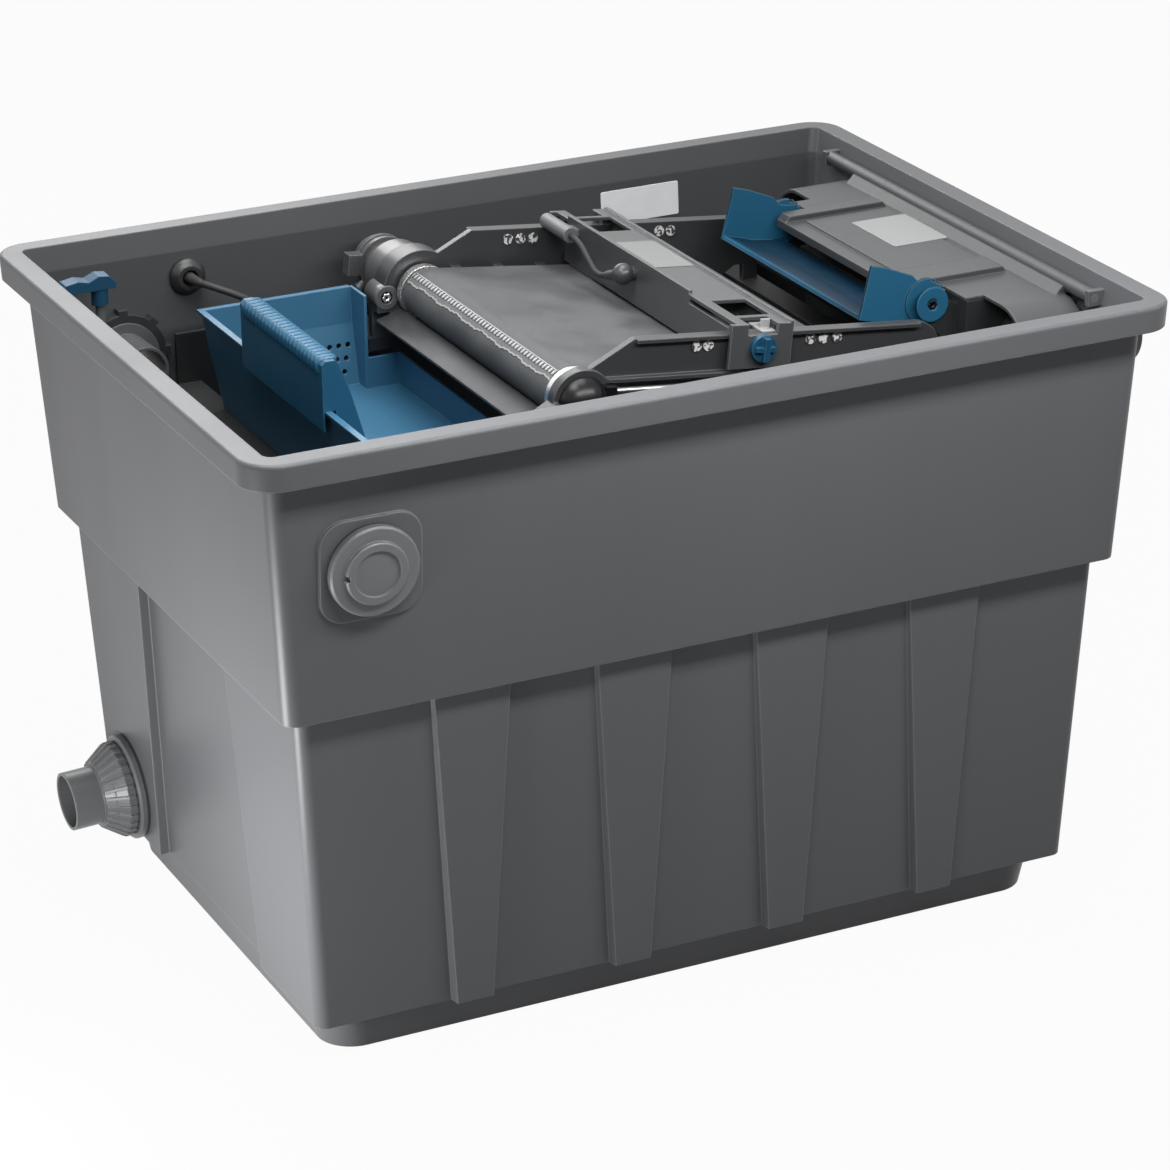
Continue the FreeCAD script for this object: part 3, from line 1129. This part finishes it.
def make_box():
    """Distributor trough: an elbow enters each end, the sill faces the belt."""
    outer = box(BOX_X0, BOX_X1, -BOX_HALF_Y, BOX_HALF_Y, FRAME_TOP, BOX_TOP)
    room = box(BOX_X0 + BOX_WALL, BOX_X1 - BOX_WALL, -BOX_HALF_Y + BOX_WALL,
               BOX_HALF_Y - BOX_WALL, FRAME_TOP + BOX_WALL, BOX_TOP + 1)
    sill_half = HOOD_MID_HALF - 4
    slot = box(BOX_X0 - 1, BOX_X0 + BOX_WALL + 1, -sill_half, sill_half, BOX_SILL, BOX_TOP + 1)
    trough = outer.cut(room).cut(slot)
    depth = HALF_X - wall_inset(INLET_Z) - INLET_ELBOW_X
    x, y, z = wall_point("right", INLET_Y, INLET_Z, depth)
    branches = rod(INLET_BRANCH_R + RUN, (x, -y, z), (x, y, z))
    ends = box(BOX_X0, BOX_X1, -BOX_HALF_Y + 2 * BOX_WALL, BOX_HALF_Y - 2 * BOX_WALL, 0, RIM_Z)
    trough = trough.cut(branches.cut(ends))
    spout = box(CHUTE_X + 9, BOX_X0, -sill_half - 2, sill_half + 2, BOX_SILL - BOX_WALL, BOX_SILL)
    outline = [(CHUTE_X - 9, CHUTE_Z - 9), (BOX_X0 + 1, FRAME_TOP + 12),
               (BOX_X0 + 1, CHUTE_Z - 4), (CHUTE_X + 5, CHUTE_Z + 9), (CHUTE_X - 6, CHUTE_Z + 9)]
    inner = CHUTE_HALF_Y + CHUTE_PLATE + 5 + GAP
    cheeks = []
    for sign in (-1, 1):
        y0, y1 = sorted((sign * inner, sign * (inner + CHUTE_PLATE + 1)))
        cheeks.append(side_profile(outline, y0, y1))
    trough = join(trough, spout, *cheeks)
    return trough.cut(rod(CHUTE_PIN_R + RUN, (CHUTE_X, -BOX_HALF_Y, CHUTE_Z),
                          (CHUTE_X, BOX_HALF_Y, CHUTE_Z)))


def make_hood():
    """Ribbed hood over the distributor, hinged on the rod along the wall."""
    z1 = HOOD_Z
    z0 = z1 - HOOD_THICK
    mid = HOOD_MID_HALF
    far = BAR_X - BAR_EYE_R + 2
    middle = box(HOOD_X0, far, -mid, mid, z0, z1)
    wings = box(BOX_X0 - 1, far, -BOX_HALF_Y, BOX_HALF_Y, z0, z1)
    nose = box(HOOD_X0, HOOD_X0 + HOOD_THICK, -mid, mid, z0 - HOOD_NOSE, z1)
    panel = box(HOOD_X0 + 16, far - 18, -mid + 46, mid - 22, z1 - 1, z1 + 2)
    ribs = []
    for y0, y1 in ((-mid + 8, -mid + 38), (mid - 14, mid)):
        ribs.append(side_profile([(HOOD_X0, z1 - 1), (HOOD_X0 + 5, z1 + 5), (far - 16, z1 + 5),
                                  (far - 12, z1 - 1)], y0, y1))
    ends = [hood_end(-1), hood_end(1)]
    barrel = rod(BAR_EYE_R, (BAR_X, BAR_FRONT_Y, BAR_Z), (BAR_X, BAR_BACK_Y, BAR_Z))
    web = side_profile([(far - 9, z0), (far, z0), (BAR_X, BAR_Z - 2), (BAR_X - 5, BAR_Z + 1),
                        (far - 9, z1)], -INLET_Y, INLET_Y)
    hood = join(middle, wings, nose, panel, *ribs, *ends, barrel, web)
    return hood.cut(rod(BAR_R + RUN, (BAR_X, BAR_FRONT_Y - 1, BAR_Z),
                        (BAR_X, BAR_BACK_Y + 1, BAR_Z)))


def hood_end(sign):
    """Rounded end of the hood over one inlet elbow, open towards the belt."""
    outer_r = HOOD_END_R
    skin = HOOD_THICK
    y, z = INLET_Y, INLET_Z
    inner_r = outer_r - skin
    slant = math.sqrt(0.5)
    flat = y - BOX_HALF_Y + 1
    edges = [
        Part.LineSegment(Vector(0, y - flat, z + outer_r), Vector(0, y, z + outer_r)).toShape(),
        Part.Arc(Vector(0, y, z + outer_r), Vector(0, y + outer_r * slant, z + outer_r * slant),
                 Vector(0, y + outer_r, z)).toShape(),
        Part.LineSegment(Vector(0, y + outer_r, z), Vector(0, y + inner_r, z)).toShape(),
        Part.Arc(Vector(0, y + inner_r, z), Vector(0, y + inner_r * slant, z + inner_r * slant),
                 Vector(0, y, z + inner_r)).toShape(),
        Part.LineSegment(Vector(0, y, z + inner_r), Vector(0, y - flat, z + inner_r)).toShape(),
        Part.LineSegment(Vector(0, y - flat, z + inner_r),
                         Vector(0, y - flat, z + outer_r)).toShape(),
    ]
    far = BAR_X - BAR_EYE_R + 2
    cover = Part.Face(Part.Wire(edges)).extrude(Vector(far - HOOD_END_X, 0, 0))
    cover.translate(Vector(HOOD_END_X, 0, 0))
    return cover if sign > 0 else cover.mirror(Vector(0, 0, 0), Y_AXIS)


def make_chute():
    """Blue deflector: floor plate, two side plates and notched detent wheels."""
    x, z = CHUTE_X, CHUTE_Z
    lip_x, lip_z = CHUTE_LIP_X, CHUTE_LIP_Z
    outline = [(lip_x, lip_z), (lip_x + 11, lip_z + 44), (lip_x + 25, lip_z + 40),
               (x - 12, z + 23), (x - 5, z + 15), (x + 8, z + 13), (x + 12, z - 4),
               (x + 7, z - 14), (lip_x + 30, lip_z - 8)]
    sides = []
    for sign in (-1, 1):
        y0, y1 = sorted((sign * CHUTE_HALF_Y, sign * (CHUTE_HALF_Y + CHUTE_PLATE)))
        sides.append(side_profile(outline, y0, y1))
        y2, y3 = sorted((sign * (CHUTE_HALF_Y + 1), sign * (CHUTE_HALF_Y + CHUTE_PLATE + 2)))
        wheel = rod(CHUTE_WHEEL_R, (x, y2, z), (x, y3, z))
        notches = []
        for i in range(CHUTE_NOTCHES):
            notch = box(CHUTE_WHEEL_R - 2.5, CHUTE_WHEEL_R + 1, y2 - 1, y3 + 1, -1.8, 1.8)
            notch.rotate(Vector(0, 0, 0), Y_AXIS, i * NOTCH_STEP - NOTCH_START)
            notch.translate(Vector(x, 0, z))
            notches.append(notch)
        sides.append(wheel.cut(notches[0].multiFuse(notches[1:])))
    floor = side_profile([(lip_x, lip_z), (lip_x + 30, lip_z - 8), (x - 2, z - 19),
                          (x - 2, z - 16), (lip_x + 30, lip_z - 5), (lip_x + 1.5, lip_z + 3)],
                         -CHUTE_HALF_Y - 1, CHUTE_HALF_Y + 1)
    chute = join(*sides, floor)
    return chute.cut(rod(CHUTE_PIN_R, (x, -BOX_HALF_Y, z), (x, BOX_HALF_Y, z)))


def make_chute_pins():
    """Hollow pivot pins fixed in the chute's side plates."""
    pins = []
    for sign in (-1, 1):
        start = sign * (CHUTE_HALF_Y - 3)
        end = sign * (CHUTE_HALF_Y + CHUTE_PLATE + 9)
        shank = rod(CHUTE_PIN_R, (CHUTE_X, start, CHUTE_Z), (CHUTE_X, end, CHUTE_Z))
        head = rod(CHUTE_PIN_R + 3, (CHUTE_X, start, CHUTE_Z),
                   (CHUTE_X, sign * CHUTE_HALF_Y, CHUTE_Z))
        bore = rod(CHUTE_PIN_R - 2, (CHUTE_X, start, CHUTE_Z), (CHUTE_X, end, CHUTE_Z))
        pins.append(join(shank, head).cut(bore))
    return Part.makeCompound(pins)


def cord_path(points):
    """Straight runs joined by tangent arcs through the inner points."""
    spots = [Vector(*p) for p in points]
    edges = []
    start = spots[0]
    for before, here, after in zip(spots, spots[1:], spots[2:]):
        back, ahead = before - here, after - here
        turn = math.pi - back.getAngle(ahead)
        shorter = min(back.Length, ahead.Length)
        cut = 0.45 * shorter
        radius = cut / math.tan(turn / 2)
        print("cord radius", round(radius, 1))
        back.normalize()
        ahead.normalize()
        inward = (back + ahead).normalize()
        centre = here + inward * (radius / math.cos(turn / 2))
        first, last = here + back * cut, here + ahead * cut
        middle = centre - inward * radius
        edges.append(Part.LineSegment(start, first).toShape())
        edges.append(Part.Arc(first, middle, last).toShape())
        start = last
    edges.append(Part.LineSegment(start, spots[-1]).toShape())
    return Part.Wire(edges)


def make_cord(points, radius):
    path = cord_path(points)
    first = Vector(*points[1]) - Vector(*points[0])
    circle = Part.Wire(Part.makeCircle(radius, Vector(*points[0]), first))
    return path.makePipeShell([circle], True, True)


os.makedirs("parts", exist_ok=True)

export("tub", make_tub())

# Blanked front port and outlet port
seal = ring(PLUG_FLANGE_R, PORT_HOLE_R, 0, SEAL_THICK)
port_nut = grip_nut(FITTING_NUT_R, PORT_HOLE_R - THREAD_PLAY + RUN, -WALL - FITTING_NUT, -WALL)
export("blanking_plug", on_wall(make_plug(), "front", PORT_X, PORT_Z, PORT_PAD_DEPTH))
export("plug_seal", on_wall(seal, "front", PORT_X, PORT_Z, PORT_PAD_DEPTH))
export("plug_nut", on_wall(port_nut, "front", PORT_X, PORT_Z))
export("outlet_fitting", on_wall(make_outlet(), "back", PORT_X, PORT_Z, PORT_PAD_DEPTH))
export("outlet_seal", on_wall(seal, "back", PORT_X, PORT_Z, PORT_PAD_DEPTH))
export("outlet_nut", on_wall(port_nut, "back", PORT_X, PORT_Z))

# Drain with its union nut and gate valve
drain_seal = ring(DRAIN_FLANGE_R - 1, DRAIN_HOLE_R, 0, SEAL_THICK)
export("drain_seal", on_wall(drain_seal, "left", DRAIN_Y, DRAIN_Z))
export("drain_body", make_drain_body())
export("drain_spigot", on_wall(make_drain_spigot(), "left", DRAIN_Y, DRAIN_Z))
export("union_nut", on_wall(make_union_nut(), "left", DRAIN_Y, DRAIN_Z))
export("valve_housing", make_valve_housing())
export("gate_blade", make_gate())
export("valve_rod", rod(ROD_R, (GATE_X, ROD_Y, GATE_TOP), (GATE_X, ROD_Y, HANDLE_Z - ROD_R)))
export("valve_handle", make_valve_handle())

# Inlets at the far end
inlet_seals = []
inlet_nuts = []
inlet_seal = ring(DRAIN_HOLE_R + 7, DRAIN_HOLE_R, 0, SEAL_THICK)
inlet_nut = grip_nut(INLET_NUT_R, DRAIN_HOLE_R - THREAD_PLAY + RUN, -WALL - INLET_NUT, -WALL)
elbow = make_inlet()
elbows = {-1: elbow.mirror(Vector(0, 0, 0), X_AXIS), 1: elbow}
for sign, place in ((-1, "front"), (1, "back")):
    export("inlet_elbow_" + place, on_wall(elbows[sign], "right", sign * INLET_Y, INLET_Z))
    inlet_seals.append(on_wall(inlet_seal, "right", sign * INLET_Y, INLET_Z))
    inlet_nuts.append(on_wall(inlet_nut, "right", sign * INLET_Y, INLET_Z))
export("inlet_seals", Part.makeCompound(inlet_seals))
export("inlet_nuts", Part.makeCompound(inlet_nuts))

# Foam chamber and support frame
export("support_frame", make_frame())
export("foam_grid", make_grid())
for column in range(FOAM_COLUMNS):
    for row in range(FOAM_ROWS):
        export("foam_" + str(1 + column * FOAM_ROWS + row), make_foam(column, row))

# Distributor, chute and hood
export("distributor_box", make_box())
export("chute", make_chute())
export("chute_pins", make_chute_pins())
export("hinge_rod", make_hinge_rod())
export("rod_brackets", make_rod_brackets())
export("distributor_hood", make_hood())

# Screen module
export("side_arm_front", make_arm(-1, FRONT_BOSS_R, FRONT_BOSS, FRONT_PINS))
export("side_arm_back", make_arm(1, BACK_BOSS_R, BACK_BOSS, BACK_PINS))
export("arm_pins_front", make_pins(-1, FRONT_PINS))
export("arm_pins_back", make_pins(1, BACK_PINS))
export("belt_bed", make_belt_bed())
export("screen_belt", make_belt())
export("scraper", make_scraper())
export("drive_roller", make_drive_roller())
export("drive_collars", Part.makeCompound([make_collar(-1), make_collar(1)]))
export("tail_roller", make_tail_roller())
export("gearmotor", make_gearmotor())
export("motor_cap", make_motor_cap())
export("bearing_cap", make_bearing_cap())
export("tension_rod", make_tension_rod())
export("cross_beam", make_beam())
export("lock_knob", make_knob())
export("beam_clip", make_clip())
export("sensor_sheath", make_sheath())
export("sensor_plug", make_sensor_plug())
export("sensor_lead", to_module(make_cord(SENSOR_ROUTE, SENSOR_LEAD_R)))

# Motor lead and its gland
export("cable_gland", on_wall(make_gland(), "back", GLAND_X, GLAND_Z))
export("motor_lead", make_cord(MOTOR_ROUTE, MOTOR_LEAD_R))

# Debris basket
export("debris_tray", make_tray())
export("tray_handle", make_tray_handle())
